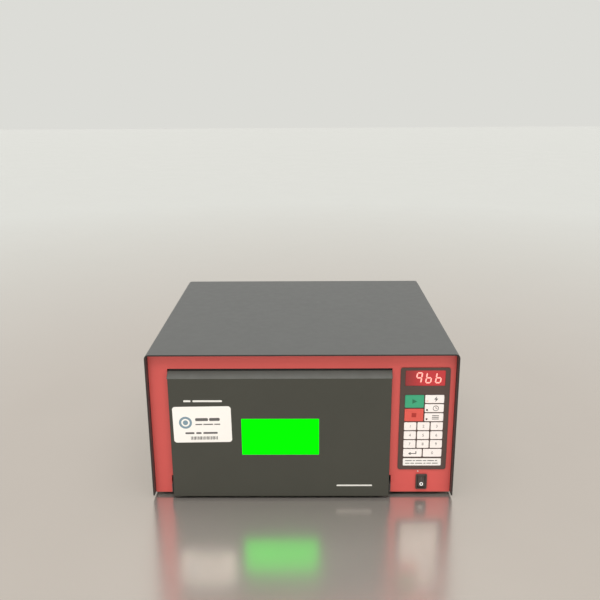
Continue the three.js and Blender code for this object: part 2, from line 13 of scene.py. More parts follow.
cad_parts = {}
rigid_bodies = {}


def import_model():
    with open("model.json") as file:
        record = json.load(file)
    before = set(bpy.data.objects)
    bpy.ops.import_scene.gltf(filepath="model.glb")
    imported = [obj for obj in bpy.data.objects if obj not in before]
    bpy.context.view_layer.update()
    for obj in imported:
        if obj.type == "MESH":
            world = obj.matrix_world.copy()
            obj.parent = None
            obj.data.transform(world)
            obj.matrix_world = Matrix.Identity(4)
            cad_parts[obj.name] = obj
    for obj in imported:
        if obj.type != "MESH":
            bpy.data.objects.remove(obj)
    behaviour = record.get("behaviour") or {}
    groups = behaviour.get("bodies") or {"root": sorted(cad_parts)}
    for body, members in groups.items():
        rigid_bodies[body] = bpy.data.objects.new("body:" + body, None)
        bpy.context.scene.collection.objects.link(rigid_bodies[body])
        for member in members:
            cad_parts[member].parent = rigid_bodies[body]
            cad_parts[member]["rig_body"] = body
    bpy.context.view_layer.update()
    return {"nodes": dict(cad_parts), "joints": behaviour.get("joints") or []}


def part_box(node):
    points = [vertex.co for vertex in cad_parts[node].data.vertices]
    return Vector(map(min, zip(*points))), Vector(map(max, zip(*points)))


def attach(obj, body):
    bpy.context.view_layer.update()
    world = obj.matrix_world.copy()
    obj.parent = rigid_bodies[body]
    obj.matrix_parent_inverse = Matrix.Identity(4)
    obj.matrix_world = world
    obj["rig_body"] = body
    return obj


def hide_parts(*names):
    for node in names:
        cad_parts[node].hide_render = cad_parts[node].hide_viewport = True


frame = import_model()
scene = bpy.context.scene


def turned(degrees, axis):
    """The matrix of a turn about an axis."""
    return Matrix.Rotation(math.radians(degrees), 4, axis)


MM = 0.001
PRINT = 0.06 * MM  # thickness of printed ink
FACE = turned(90, "X")  # turns a drawing in X and Y to face -Y
REAR = turned(180, "Z") @ FACE  # the same, facing +Y
SIDES = (("left", -1), ("right", 1))
COVER_SHEET = 2 * MM
COVER_BEND = 6 * MM  # outer radius of the folded cover's two bends

DOOR_LOW, DOOR_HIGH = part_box("door_shell")
OVERLAY_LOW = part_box("keypad_overlay")[0]
COVER_LOW, COVER_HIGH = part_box("outer_cover")
BEZEL_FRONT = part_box("front_bezel")[0].y


# ------------------------------------------------------------------ camera, light and floor
def make_camera():
    """A camera a metre in front of the cabinet, looking a little down at it."""
    place = Vector((0.0071, -1.0496, 0.5320))
    yaw, pitch, roll = math.radians(-0.59), math.radians(16.2), math.radians(-0.36)
    forward = Vector((math.sin(yaw) * math.cos(pitch), math.cos(yaw) * math.cos(pitch), -math.sin(pitch)))
    level = Vector((math.cos(yaw), -math.sin(yaw), 0))
    upright = level.cross(forward)
    right = level * math.cos(roll) + upright * math.sin(roll)
    up = upright * math.cos(roll) - level * math.sin(roll)
    data = bpy.data.cameras.new("camera")
    data.sensor_width = 36
    data.lens = 43.17
    camera = bpy.data.objects.new("camera", data)
    scene.collection.objects.link(camera)
    turn = Matrix((right, up, -forward)).transposed().to_4x4()
    camera.matrix_world = Matrix.Translation(place) @ turn
    scene.camera = camera


def make_studio():
    """Soft light from almost straight above, a pale surround and a satin metal bench top."""
    scene.view_settings.view_transform = "Standard"
    world = bpy.data.worlds.new("studio")
    world.use_nodes = True
    world.node_tree.nodes["Background"].inputs["Color"].default_value = (0.716, 0.716, 0.68, 1)
    scene.world = world

    data = bpy.data.lights.new("soft_light", "SUN")
    data.energy = 4.9
    data.angle = math.radians(70)
    lamp = bpy.data.objects.new("soft_light", data)
    lamp.rotation_euler = (math.radians(5), 0, 0)
    scene.collection.objects.link(lamp)

    bm = bmesh.new()
    bmesh.ops.create_grid(bm, x_segments=1, y_segments=1, size=10)
    mesh = bpy.data.meshes.new("floor")
    bm.to_mesh(mesh)
    bm.free()
    mesh.materials.append(bench_top())
    floor = bpy.data.objects.new("floor", mesh)
    scene.collection.objects.link(floor)


# ------------------------------------------------------------------ materials
class Nodes:
    """A new material, its node tree and short calls for adding nodes to it."""

    def __init__(self, name):
        self.material = bpy.data.materials.new(name)
        self.material.use_nodes = True
        self.tree = self.material.node_tree
        self.shader = self.tree.nodes["Principled BSDF"]

    def add(self, kind, **settings):
        node = self.tree.nodes.new(kind)
        for key, value in settings.items():
            setattr(node, key, value)
        return node

    def link(self, source, target):
        self.tree.links.new(source, target)

    def place(self, stretch=(1, 1, 1)):
        """Object coordinates, stretched."""
        coordinates = self.add("ShaderNodeTexCoord")
        mapping = self.add("ShaderNodeMapping")
        mapping.inputs["Scale"].default_value = stretch
        self.link(coordinates.outputs["Object"], mapping.inputs["Vector"])
        return mapping.outputs["Vector"]

    def noise(self, scale, detail=3.0, stretch=(1, 1, 1)):
        texture = self.add("ShaderNodeTexNoise")
        texture.inputs["Scale"].default_value = scale
        texture.inputs["Detail"].default_value = detail
        self.link(self.place(stretch), texture.inputs["Vector"])
        return texture.outputs["Fac"]

    def spread(self, value, low, high, start=0.3, end=0.7):
        """A value from start to end turned into one from low to high."""
        node = self.add("ShaderNodeMapRange")
        for key, number in (("From Min", start), ("From Max", end), ("To Min", low), ("To Max", high)):
            node.inputs[key].default_value = number
        self.link(value, node.inputs["Value"])
        return node.outputs["Result"]

    def blend(self, factor, first, second):
        """A colour between two colours."""
        node = self.add("ShaderNodeMix", data_type="RGBA")
        self.link(factor, node.inputs["Factor"])
        for index, color in ((6, first), (7, second)):
            if isinstance(color, tuple):
                node.inputs[index].default_value = (*color, 1)
            else:
                self.link(color, node.inputs[index])
        return node.outputs[2]

    def bump(self, height, depth, strength=1.0):
        node = self.add("ShaderNodeBump")
        node.inputs["Strength"].default_value = strength
        node.inputs["Distance"].default_value = depth
        self.link(height, node.inputs["Height"])
        self.link(node.outputs["Normal"], self.shader.inputs["Normal"])

    def set(self, **sockets):
        for key, value in sockets.items():
            self.shader.inputs[key.replace("_", " ")].default_value = value


def tinted(color, amount):
    return tuple(min(1.0, channel * (1 + amount)) for channel in color)


def surface(name, color, rough=(0.45, 0.55), metal=0.0, grain=None, tint=0.06, tint_scale=9,
            stretch=(1, 1, 1), **sockets):
    """The common finish: cloudy colour, uneven gloss and, with grain=(scale, depth), a fine bump."""
    made = Nodes(name)
    cloud = made.noise(tint_scale, stretch=stretch)
    color_out = made.blend(made.spread(cloud, 0, 1), tinted(color, -tint), tinted(color, tint))
    made.link(color_out, made.shader.inputs["Base Color"])
    smear = made.noise(tint_scale * 3.1, detail=5, stretch=stretch)
    made.link(made.spread(smear, *rough), made.shader.inputs["Roughness"])
    if grain:
        scale, depth = grain
        made.bump(made.noise(scale, detail=2, stretch=stretch), depth)
    made.set(Metallic=metal, **sockets)
    return made.material


def bench_top():
    """Satin metal sheet that mirrors the object softly and turns paler away from it."""
    made = Nodes("floor")
    distance = made.add("ShaderNodeVectorMath", operation="LENGTH")
    made.link(made.place(), distance.inputs[0])
    away = made.spread(distance.outputs["Value"], 0, 1, 0.5, 2.5)
    color = made.blend(away, (0.543, 0.492, 0.449), (0.71, 0.71, 0.685))
    made.link(color, made.shader.inputs["Base Color"])
    made.link(made.spread(made.noise(6), 0.20, 0.24), made.shader.inputs["Roughness"])
    made.set(Metallic=0.8)
    return made.material


def zinc_plate():
    """Galvanised sheet: cells of slightly different grey and gloss."""
    made = Nodes("zinc_steel")
    cells = made.add("ShaderNodeTexVoronoi")
    cells.inputs["Scale"].default_value = 330
    made.link(made.place(), cells.inputs["Vector"])
    shade = made.add("ShaderNodeSeparateColor")
    made.link(cells.outputs["Color"], shade.inputs["Color"])
    color = made.blend(shade.outputs["Red"], (0.55, 0.56, 0.57), (0.64, 0.65, 0.66))
    made.link(color, made.shader.inputs["Base Color"])
    made.link(made.spread(shade.outputs["Green"], 0.38, 0.46, 0, 1), made.shader.inputs["Roughness"])
    made.bump(made.noise(400), 0.01 * MM)
    made.set(Metallic=1.0)
    return made.material


def glow(name, color, light, strength, rough=0.2, gloss=0.2):
    """A lit plastic: dark body colour with light coming through it, a little uneven."""
    made = Nodes(name)
    made.link(made.blend(made.noise(40), tinted(color, -0.2), color), made.shader.inputs["Base Color"])
    made.link(made.spread(made.noise(25), strength * 0.97, strength * 1.03),
              made.shader.inputs["Emission Strength"])
    made.set(Roughness=rough, Emission_Color=(*light, 1), Specular_IOR_Level=gloss)
    return made.material


def display_glow():
    """The filter over the digits: brighter red at the lit digits on the right."""
    low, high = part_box("display_window")
    made = Nodes("display_filter")
    axes = made.add("ShaderNodeSeparateXYZ")
    made.link(made.place(), axes.inputs["Vector"])
    across = made.spread(axes.outputs["X"], 0, 1, low.x, low.x + (high.x - low.x) * 0.45)
    color = made.blend(across, (0.20, 0.030, 0.028), (0.52, 0.040, 0.042))
    made.link(color, made.shader.inputs["Emission Color"])
    made.link(made.blend(made.noise(300), (0.10, 0.004, 0.006), (0.14, 0.006, 0.009)),
              made.shader.inputs["Base Color"])
    made.set(Roughness=0.22, Emission_Strength=0.85)
    return made.material


def quartz():
    made = Nodes("lamp_glass")
    color = made.blend(made.noise(30), (0.90, 0.93, 0.97), (0.97, 0.98, 1.0))
    made.link(color, made.shader.inputs["Base Color"])
    made.link(made.spread(made.noise(90), 0.02, 0.10), made.shader.inputs["Roughness"])
    made.set(Transmission_Weight=0.92, IOR=1.46)
    return made.material


def circuit_green():
    """Solder mask with a faint grid of traces."""
    made = Nodes("circuit_board")
    bricks = made.add("ShaderNodeTexBrick")
    bricks.inputs["Scale"].default_value = 260
    bricks.inputs["Mortar Size"].default_value = 0.02
    bricks.inputs["Color1"].default_value = (0.010, 0.085, 0.035, 1)
    bricks.inputs["Color2"].default_value = (0.014, 0.10, 0.04, 1)
    bricks.inputs["Mortar"].default_value = (0.03, 0.17, 0.07, 1)
    upright = made.add("ShaderNodeMapping")
    upright.inputs["Rotation"].default_value = (math.pi / 2, 0, 0)
    made.link(made.place(), upright.inputs["Vector"])
    made.link(upright.outputs["Vector"], bricks.inputs["Vector"])
    made.link(bricks.outputs["Color"], made.shader.inputs["Base Color"])
    made.link(made.spread(made.noise(200), 0.3, 0.45), made.shader.inputs["Roughness"])
    return made.material


# Fine bumps, as the scale of the noise and its depth.
PAINT_GRAIN = (1700, 0.04 * MM)
KEY_GRAIN = (1800, 0.02 * MM)
PLASTIC_GRAIN = (1100, 0.03 * MM)

COVER_PAINT = surface("cover_paint", (0.049, 0.050, 0.048), (0.47, 0.52), grain=PAINT_GRAIN, tint=0.03,
                      tint_scale=30)
DOOR_PAINT = surface("door_paint", (0.039, 0.040, 0.030), (0.47, 0.52), grain=PAINT_GRAIN, tint=0.03,
                     tint_scale=30)
# Painted shade: a darker copy of the cover paint for the cover sheet's end faces, drawing the dark line of
# shade along the cover's front edge.
EDGE_SHADE_PAINT = surface("edge_shade_paint", (0.030, 0.027, 0.024), (0.5, 0.6), grain=PAINT_GRAIN, tint_scale=30,
                   Specular_IOR_Level=0.25)
RED_ENAMEL = surface("bezel_paint", (0.66, 0.090, 0.080), (0.40, 0.46), grain=(520, 0.02 * MM), tint=0.02)
ZINC = zinc_plate()
BRIGHT_ALUMINIUM = surface("bright_aluminium", (0.80, 0.81, 0.82), (0.16, 0.28), metal=1.0,
                           grain=(900, 0.0015 * MM), tint=0.02, stretch=(0.08, 1, 1))
STAINLESS = surface("screw_steel", (0.62, 0.62, 0.61), (0.25, 0.4), metal=1.0, grain=(900, 0.01 * MM))
BRASS = surface("contact_brass", (0.72, 0.55, 0.28), (0.2, 0.35), metal=1.0, grain=(700, 0.01 * MM))
QUARTZ = quartz()
WHITE_PLASTIC = surface("white_plastic", (0.78, 0.77, 0.73), (0.4, 0.5), grain=(800, 0.02 * MM), tint=0.03)
WINDOW_GLOW = glow("window_acrylic", (0.0, 0.06, 0.0), (0.0, 1.0, 0.0), 1.15, gloss=0.04)
DISPLAY_GLOW = display_glow()
SEGMENT_LIGHT = glow("segment_light", (0.9, 0.30, 0.26), (1.0, 0.40, 0.34), 0.95)
OVERLAY_FILM = surface("overlay_film", (0.074, 0.044, 0.036), (0.40, 0.5), grain=(2200, 0.02 * MM), tint=0.08)
WHITE_KEY = surface("white_key", (0.93, 0.86, 0.83), (0.42, 0.52), grain=KEY_GRAIN, tint=0.03)
GREEN_KEY = surface("green_key", (0.035, 0.36, 0.185), (0.42, 0.52), grain=KEY_GRAIN, tint=0.04)
RED_KEY = surface("red_key", (0.70, 0.092, 0.070), (0.42, 0.52), grain=KEY_GRAIN, tint=0.04)
BLACK_PLASTIC = surface("black_plastic", (0.022, 0.021, 0.020), (0.38, 0.5), grain=PLASTIC_GRAIN)
SWITCH_PLASTIC = surface("switch_plastic", (0.050, 0.036, 0.031), (0.38, 0.5), grain=PLASTIC_GRAIN)
CIRCUIT = circuit_green()
IRON = surface("iron_core", (0.10, 0.10, 0.11), (0.4, 0.55), metal=0.6, grain=(500, 0.05 * MM),
               stretch=(1, 12, 1))
RUBBER = surface("black_rubber", (0.020, 0.020, 0.020), (0.75, 0.88), grain=(900, 0.06 * MM))
PAPER = surface("label_paper", (0.90, 0.87, 0.83), (0.5, 0.6), grain=(1600, 0.02 * MM), tint=0.02)
GREY_INK = surface("grey_ink", (0.10, 0.095, 0.095), (0.6, 0.7), tint=0.1)
PALE_INK = surface("pale_ink", (0.75, 0.74, 0.70), (0.55, 0.65), tint=0.05)
BRIGHT_INK = surface("bright_ink", (0.95, 0.94, 0.92), (0.55, 0.65), tint=0.02)
DIM_INK = surface("dim_ink", (0.13, 0.11, 0.10), (0.55, 0.65), tint=0.05)
LAMP_DARK = surface("unlit_indicator", (0.035, 0.012, 0.010), (0.2, 0.3), tint=0.05)
BLUE_GREY_INK = surface("blue_grey_ink", (0.18, 0.27, 0.33), (0.6, 0.7), tint=0.1)
DARK_GREEN_INK = surface("dark_green_ink", (0.012, 0.16, 0.075), (0.5, 0.6), tint=0.1)
DARK_RED_INK = surface("dark_red_ink", (0.40, 0.022, 0.015), (0.5, 0.6), tint=0.1)


# ------------------------------------------------------------------ mesh helpers
def link_piece(name, mesh, body, material, replaces=(), transform=None):
    """A finished piece of the object: its mesh, its finish, the body that it rides on and the CAD
    nodes that it stands for."""
    if transform is not None:
        mesh.transform(transform)
    mesh.materials.clear()
    mesh.materials.append(material)
    piece = bpy.data.objects.new(name, mesh)
    scene.collection.objects.link(piece)
    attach(piece, body)
    if replaces:
        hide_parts(*replaces)
    return piece


def mesh_from(name, bm):
    mesh = bpy.data.meshes.new(name)
    bmesh.ops.recalc_face_normals(bm, faces=bm.faces)
    bm.to_mesh(mesh)
    bm.free()
    return mesh


def baked(maker):
    """The mesh that an object makes with its modifiers or its text. The object itself goes."""
    bpy.context.view_layer.update()
    mesh = bpy.data.meshes.new_from_object(maker.evaluated_get(bpy.context.evaluated_depsgraph_get()))
    bpy.data.objects.remove(maker)
    return mesh


def smoothed(piece, sharp=None):
    """Shades a piece round, apart from edges that turn by more than sharp degrees."""
    piece.data.shade_smooth()
    if sharp is not None:
        piece.data.set_sharp_from_angle(angle=math.radians(sharp))


def soften(piece, width, segments=2, angle=28):
    """Breaks a piece's hard edges and keeps its flat faces flat."""
    piece.data.shade_smooth()
    edge = piece.modifiers.new("edge", "BEVEL")
    edge.width = width
    edge.segments = segments
    edge.limit_method = "ANGLE"
    edge.angle_limit = math.radians(angle)
    normals = piece.modifiers.new("normals", "WEIGHTED_NORMAL")
    normals.weight = 100


def refined(node, material, edge=0.3, segments=2, merge=True):
    """Stands for a CAD node: the same solid with its edges softened.

    With merge its flat faces become single ones. Without, for faces with slots in them, they become
    well-shaped triangles.
    """
    source = frame["nodes"][node]
    bm = bmesh.new()
    bm.from_mesh(source.data)
    bmesh.ops.remove_doubles(bm, verts=bm.verts, dist=0.001 * MM)
    if merge:
        bmesh.ops.dissolve_limit(bm, angle_limit=math.radians(1), verts=bm.verts, edges=bm.edges)
    else:
        flat = [line for line in bm.edges if line.calc_face_angle() < math.radians(1)]
        bmesh.ops.beautify_fill(bm, faces=bm.faces, edges=flat, method="AREA")
    name = f"{node}_cap" if node.startswith("key_") else f"{node}_shell"
    piece = link_piece(name, mesh_from(name, bm), source["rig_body"], material, (node,))
    soften(piece, edge * MM, segments)


def prism(outlines, thickness):
    """Closed plates with the given outlines in X and Y, standing on Z 0."""
    bm = bmesh.new()
    for outline in outlines:
        lower = [bm.verts.new((x, y, 0)) for x, y in outline]
        upper = [bm.verts.new((x, y, thickness)) for x, y in outline]
        bm.faces.new(lower[::-1])
        bm.faces.new(upper)
        for i, corner in enumerate(lower):
            j = (i + 1) % len(lower)
            bm.faces.new((corner, lower[j], upper[j], upper[i]))
    return bm


def rectangle(x, y, width, height):
    return [(x - width / 2, y - height / 2), (x + width / 2, y - height / 2),
            (x + width / 2, y + height / 2), (x - width / 2, y + height / 2)]


def rounded(x, y, width, height, radius, steps=6):
    points = []
    corners = ((1, -1, -90), (1, 1, 0), (-1, 1, 90), (-1, -1, 180))
    for side_x, side_y, start in corners:
        cx = x + side_x * (width / 2 - radius)
        cy = y + side_y * (height / 2 - radius)
        for i in range(steps + 1):
            angle = math.radians(start + 90 * i / steps)
            points.append((cx + radius * math.cos(angle), cy + radius * math.sin(angle)))
    return points


def disc(x, y, radius, steps=32):
    return [(x + radius * math.cos(2 * math.pi * i / steps), y + radius * math.sin(2 * math.pi * i / steps))
            for i in range(steps)]


def ring(x, y, outer, inner, steps=32):
    """A ring as a run of small four-sided outlines."""
    pieces = []
    for i in range(steps):
        a, b = 2 * math.pi * i / steps, 2 * math.pi * (i + 1) / steps
        pieces.append([(x + r * math.cos(t), y + r * math.sin(t))
                       for r, t in ((outer, a), (outer, b), (inner, b), (inner, a))])
    return pieces


def printed(name, outlines, face, body, material, thickness=PRINT):
    """Ink or film on a face: outlines in millimetres about the face matrix's origin."""
    scaled = [[(x * MM, y * MM) for x, y in outline] for outline in outlines]
    bm = prism(scaled, thickness)
    bmesh.ops.remove_doubles(bm, verts=bm.verts, dist=0.0005 * MM)
    mesh = mesh_from(name, bm)
    return link_piece(name, mesh, body, material, transform=face)


def numeral(name, text, size, face, body, material):
    curve = bpy.data.curves.new(name, "FONT")
    curve.body = text
    curve.size = size * MM
    curve.align_x = "CENTER"
    curve.align_y = "CENTER"
    curve.extrude = PRINT / 2
    maker = bpy.data.objects.new(name, curve)
    scene.collection.objects.link(maker)
    link_piece(name, baked(maker), body, material, transform=face)


def lathe(profile, steps=40):
    """A closed solid of revolution about Z from (radius, height) points in millimetres."""
    bm = bmesh.new()
    rows = []
    for radius, height in profile:
        if radius == 0:
            rows.append([bm.verts.new((0, 0, height * MM))] * steps)
            continue
        rows.append([bm.verts.new((radius * MM * math.cos(2 * math.pi * i / steps),
                                   radius * MM * math.sin(2 * math.pi * i / steps), height * MM))
                     for i in range(steps)])
    for lower, upper in zip(rows, rows[1:]):
        for i in range(steps):
            j = (i + 1) % steps
            corners = []
            for corner in (lower[i], lower[j], upper[j], upper[i]):
                if corner not in corners:
                    corners.append(corner)
            bm.faces.new(corners)
    return bm


def facing(place):
    """The matrix that puts a drawing upright at a place, seen from -Y."""
    return Matrix.Translation(place) @ FACE


def centre_of(node):
    low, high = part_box(node)
    return (low + high) / 2


# ------------------------------------------------------------------ fasteners
def screw_mesh(name, radius=3.0, height=1.9):
    """A pan-head screw with a cross recess, standing on Z 0."""
    dome = [(0, 0), (radius, 0), (radius, height * 0.35), (radius * 0.93, height * 0.7),
            (radius * 0.72, height * 0.93), (radius * 0.4, height), (0, height)]
    head = bpy.data.objects.new(name, mesh_from(name, lathe(dome, 28)))
    arm = radius * 0.5 * MM
    thin = radius * 0.13 * MM
    cross = [(arm, -thin), (arm, thin), (thin, thin), (thin, arm), (-thin, arm), (-thin, thin),
             (-arm, thin), (-arm, -thin), (-thin, -thin), (-thin, -arm), (thin, -arm), (thin, -thin)]
    cutter_mesh = mesh_from(name + "_cut", prism([cross], height * MM))
    cutter_mesh.transform(Matrix.Translation((0, 0, height * 0.45 * MM)))
    cutter = bpy.data.objects.new(name + "_cut", cutter_mesh)
    for item in (head, cutter):
        scene.collection.objects.link(item)
    cut = head.modifiers.new("cut", "BOOLEAN")
    cut.operation = "DIFFERENCE"
    cut.solver = "EXACT"
    cut.object = cutter
    mesh = baked(head)
    bpy.data.objects.remove(cutter)
    return mesh


SCREW = screw_mesh("screw")


def screw(name, place, outward, body="cabinet", scale=1.0, turn=0.0):
    aim = Vector(outward).to_track_quat("Z", "Y").to_matrix().to_4x4()
    matrix = Matrix.Translation(place) @ aim @ turned(turn, "Z") @ Matrix.Scale(scale, 4)
    smoothed(link_piece(name, SCREW.copy(), body, STAINLESS, transform=matrix), 35)


# ------------------------------------------------------------------ cabinet shell
def arch(half, bottom, top, radius, sheet, steps=12):
    """The outline of an upside-down U of sheet, in metres."""
    def corner(side, r, first, last):
        cx, cy = side * (half - radius), top - radius
        return [(cx + r * math.cos(math.radians(first + (last - first) * i / steps)),
                 cy + r * math.sin(math.radians(first + (last - first) * i / steps)))
                for i in range(steps + 1)]

    inner = radius - sheet
    return ([(half, bottom)] + corner(1, radius, 0, 90) + corner(-1, radius, 90, 180)
            + [(-half, bottom), (sheet - half, bottom)]
            + corner(-1, inner, 180, 90) + corner(1, inner, 90, 0) + [(half - sheet, bottom)])


def build_cover():
    """The folded cover, with finer bends than its CAD solid."""
    depth = COVER_HIGH.y - COVER_LOW.y
    outline = arch(COVER_HIGH.x, COVER_LOW.z, COVER_HIGH.z, COVER_BEND, COVER_SHEET)
    mesh = mesh_from("cover_sheet", prism([outline], depth))
    piece = link_piece("cover_sheet", mesh, "cabinet", COVER_PAINT, ("outer_cover",),
                       facing((0, COVER_HIGH.y, 0)))
    # Painted shade: the sheet's end faces, front and back, take the darker paint, for the dark line of shade
    # along the cover's front edge.
    mesh.materials.append(EDGE_SHADE_PAINT)
    for polygon in mesh.polygons:
        if abs(polygon.normal.y) > 0.9:
            polygon.material_index = 1
    soften(piece, 0.25 * MM)
    spacing, height = 140 * MM, 16 * MM
    for label, side in SIDES:
        for i in range(3):
            place = (side * COVER_HIGH.x, (i - 1) * spacing, height)
            screw(f"cover_screw_{label}_{i + 1}", place, (side, 0, 0), turn=20 + 31 * i)


def build_shell():
    build_cover()
    refined("front_bezel", RED_ENAMEL, 0.35)
    refined("base_pan", ZINC, 0.3)
    refined("rear_panel", COVER_PAINT, 0.3)
    low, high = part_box("rear_panel")
    edge = 9 * MM
    middle = (low.z + high.z) / 2
    spots = [(low.x + edge, high.z - edge), (0, high.z - edge), (high.x - edge, high.z - edge),
             (low.x + edge, middle), (high.x - edge, middle),
             (low.x + edge, low.z + edge), (0, low.z + edge), (high.x - edge, low.z + edge)]
    for i, (x, z) in enumerate(spots):
        screw(f"rear_screw_{i + 1}", (x, high.y, z), (0, 1, 0), turn=17 * i)
    for node in sorted(n for n in frame["nodes"] if n.startswith("foot_")):
        build_foot(node)


def build_foot(node):
    """A tapered rubber foot with a rounded rim and a screw well underneath."""
    low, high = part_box(node)
    radius = (high.x - low.x) / 2 / MM
    height = (high.z - low.z) / MM
    well, well_depth = 4.0, 3.2
    profile = [(0, well_depth), (well, well_depth), (well + 0.2, 0.3), (well + 0.6, 0), (radius - 2.6, 0),
               (radius - 1.7, 0.25), (radius - 1.1, 0.9), (radius, height - 1), (radius, height), (0, height)]
    mesh = mesh_from(f"{node}_rubber", lathe(profile, 36))
    centre = Vector(((low.x + high.x) / 2, (low.y + high.y) / 2, low.z))
    smoothed(link_piece(f"{node}_rubber", mesh, "cabinet", RUBBER, (node,),
                        Matrix.Translation(centre)), 50)
    screw(f"{node}_screw", centre + Vector((0, 0, well_depth * MM)), (0, 0, -1), scale=0.95, turn=25)


# ------------------------------------------------------------------ door
def greeked(x, y, words, height, gap=1.4):
    """Word-length bars in place of text, from x to the right."""
    bars = []
    for width in words:
        bars.append(rounded(x + width / 2, y, width, height, height * 0.35, 3))
        x += width + gap
    return bars


def build_door():
    refined("door_shell", DOOR_PAINT, 0.45, 3)
    refined("door_liner", ZINC, 0.25)
    refined("door_window", WINDOW_GLOW, 0.3)
    refined("window_frame", BLACK_PLASTIC, 0.4)
    refined("interlock_magnet", IRON, 0.4)
    for label in ("left", "right"):
        refined(f"hinge_bracket_{label}", COVER_PAINT, 0.25)
    refined("door_seal", RUBBER, 0.4)

    middle_x = (DOOR_LOW.x + DOOR_HIGH.x) / 2
    spacing = 92 * MM
    for i in range(4):
        for height in (30, 172):
            place = (middle_x + (i - 1.5) * spacing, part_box("door_liner")[1].y, height * MM)
            screw(f"liner_screw_{i + 1}_{height}", place, (0, 1, 0), body="door", scale=0.7, turn=23 * i)
    build_sticker()

    # Plain bars stand where the maker printed words.
    title = facing((-155.2 * MM, DOOR_LOW.y, 143.8 * MM))
    printed("door_title", greeked(0, 0, (9.5, 38.5), 2.6, 2.6), title, "door", PALE_INK)
    mark = facing((46 * MM, DOOR_LOW.y, 20 * MM))
    printed("door_mark", [rounded(24, 0, 48, 2.2, 1.0, 4)], mark, "door", PALE_INK)


def build_sticker():
    """A plain paper sticker with generic lines and bars, put on a little crooked."""
    face = facing((-131.7 * MM, DOOR_LOW.y, 110.4 * MM)) @ turned(0.75, "Z")
    thickness = 0.15 * MM
    paper = printed("sticker", [rounded(0, 0, 77, 51.5, 4, 8)], face, "door", PAPER, thickness)
    soften(paper, 0.05 * MM, 1, 60)
    ink = face @ Matrix.Translation((0, 0, thickness))
    printed("sticker_badge", ring(-22, 3, 8.6, 5.6) + [disc(-22, 3, 3.4)], ink, "door",
            BLUE_GREY_INK)
    lines = greeked(-9, 7.2, (17, 14), 4.2) + greeked(-9, 0.2, (9, 13, 8), 1.5)
    lines += greeked(-23, -12.2, (12, 7, 19), 2.6, 2.4)
    printed("sticker_lines", lines, ink, "door", GREY_INK)
    bars = []
    x = -16.0
    for i in range(26):
        width = (0.5, 1.0, 0.5, 0.8, 1.3, 0.5)[i % 6]
        bars.append(rectangle(x + width / 2, -19.5, width, 4.6))
        x += width + (0.6, 0.5, 0.9, 0.5)[i % 4]
    printed("sticker_barcode", bars, ink, "door", GREY_INK)


# ------------------------------------------------------------------ control panel
def key_face(node, x=0.0):
    """The matrix of a key's front face, moved x millimetres to the right of its centre."""
    middle = centre_of(node)
    return facing((middle.x + x * MM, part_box(node)[0].y, middle.z))


KEY_FINISH = {"key_start": (GREEN_KEY, "green_key"), "key_stop": (RED_KEY, "red_key")}


def legends():
    """Symbols for the keys that carried words: outlines, ink and place on the key."""
    arrow = [[(4.0, 2.6), (5.2, 2.6), (5.2, -1.4), (-2.4, -1.4), (-2.4, -0.2), (4.0, -0.2)],
             [(-5.8, -0.8), (-2.4, 1.5), (-2.4, -3.1)]]
    bolt = [(0.9, 4.0), (-2.8, -0.5), (-0.5, -0.5), (-1.2, -4.0), (2.7, 0.8), (0.3, 0.8)]
    hands = [rectangle(0, 1.1, 0.7, 2.6), rectangle(0.9, 0, 2.2, 0.7)]
    shelf = [rectangle(0, 2.4, 9, 1.1), rectangle(0, 0, 9, 1.1), rectangle(0, -2.4, 9, 1.1)]
    return {
        "key_start": ([[(-2.8, -3.4), (3.4, 0), (-2.8, 3.4)]], DARK_GREEN_INK, 0),
        "key_stop": ([rectangle(0, 0, 6.0, 6.0)], DARK_RED_INK, 0),
        "key_energy": ([bolt], GREY_INK, 2),
        "key_time": (ring(0, 0, 3.9, 3.1, 28) + hands, GREY_INK, 2),
        "key_preset": (shelf, GREY_INK, 2),
        "key_enter": (arrow, GREY_INK, 0),
    }


def build_keys():
    keys = [n for n in frame["nodes"] if n.startswith("key_")]
    marks = legends()
    for node in sorted(keys):
        material, slot = KEY_FINISH.get(node, (WHITE_KEY, "white_key"))
        refined(node, material, 0.28, 3, merge=False)
        digit = node.removeprefix("key_")
        if digit.isdigit():
            numeral(f"{node}_numeral", digit, 5.6, key_face(node), node, GREY_INK)
        else:
            outlines, ink, shift = marks[node]
            printed(f"{node}_symbol", outlines, key_face(node, shift), node, ink)


def build_key_lights():
    """The dots on the three function keys; the first one is lit."""
    for node, finish in (("key_energy", SEGMENT_LIGHT), ("key_time", LAMP_DARK), ("key_preset", LAMP_DARK)):
        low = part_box(node)[0]
        place = (low.x + 3.4 * MM, low.y, centre_of(node).z - 2.4 * MM)
        dome = lathe([(0, 0), (1.25, 0), (1.25, 0.25), (0.9, 0.5), (0, 0.6)], 20)
        mesh = mesh_from(f"{node}_light", dome)
        smoothed(link_piece(f"{node}_light", mesh, node, finish, transform=facing(place)))


# The strokes that light for each numeral; this display draws 6 without its top bar.
SEGMENTS = {"9": "abcfg", "6": "cdefg"}
READING = " 966"
DIGIT_PITCH = 12.7
DIGITS_LEFT, DIGITS_UP = 1.9, 0.6  # how far the row of digits stands from the window's middle


def segment_outlines(letter):
    """One stroke of a 14 mm slanted seven-segment digit, as an outline about its centre."""
    half_width, half_height, thick = 3.2, 3.45, 0.85
    slant = math.tan(math.radians(8))
    spots = {"a": (0, 2, 0), "g": (0, 0, 0), "d": (0, -2, 0), "f": (-1, 1, 1), "b": (1, 1, 1),
             "e": (-1, -1, 1), "c": (1, -1, 1)}
    side, level, upright = spots[letter]
    x, y = side * half_width, level * half_height
    run = (half_height if upright else half_width) - 0.3
    points = [(-run, 0), (thick - run, thick), (run - thick, thick), (run, 0), (run - thick, -thick),
              (thick - run, -thick)]
    if upright:
        points = [(-v, u) for u, v in points]
    return [(x + u + (y + v) * slant, y + v) for u, v in points]


